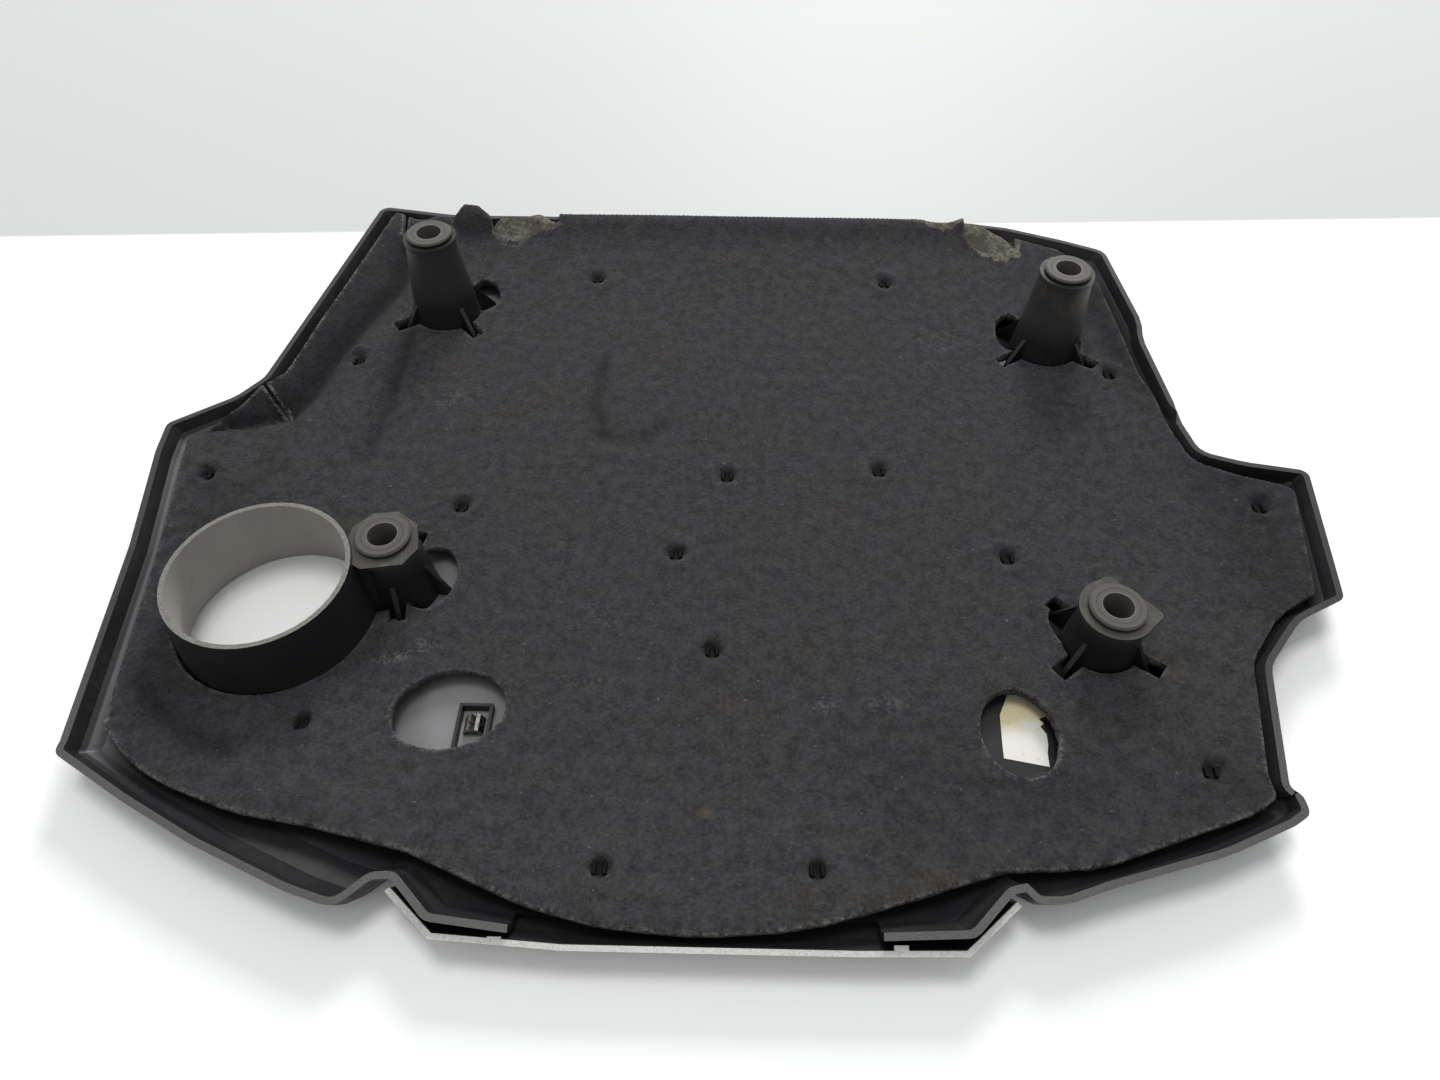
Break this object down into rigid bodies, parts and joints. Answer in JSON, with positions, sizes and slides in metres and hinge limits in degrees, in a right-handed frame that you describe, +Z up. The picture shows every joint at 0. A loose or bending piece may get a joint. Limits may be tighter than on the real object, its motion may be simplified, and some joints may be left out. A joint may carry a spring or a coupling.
{
  "type": "engine cover",
  "caption": "Moulded car engine cover, underside up, with felt insulation mat, oil filler collar, tapered mounting bosses with rubber grommets and a silver-edged front trim.",
  "frame": {"origin": "centre of the bounding box's base, on the plane that the decor face rests on", "axes": "+X along the front trim, +Y towards the rear edge, +Z up out of the underside, with the cover lying decor face down"},
  "size_m": [0.5903, 0.4687, 0.0666],
  "materials": {
    "shell_plastic": "fine grained black moulding, worn lighter at the rim",
    "trim_silver": "satin silver paint",
    "felt": "pressed charcoal felt",
    "rubber": "matt",
    "clip_steel": "bright spring steel",
    "paper": "matt paper, yellowed at the top"
  },
  "bodies": {
    "root": {"cover_shell": "shell_plastic", "front_trim": "trim_silver", "insulation_mat": "felt", "grommet_rear_left": "rubber", "grommet_rear_right": "rubber", "grommet_front_left": "rubber", "grommet_front_right": "rubber", "spring_clip": "clip_steel", "paper_label": "paper"}
  },
  "joints": []
}
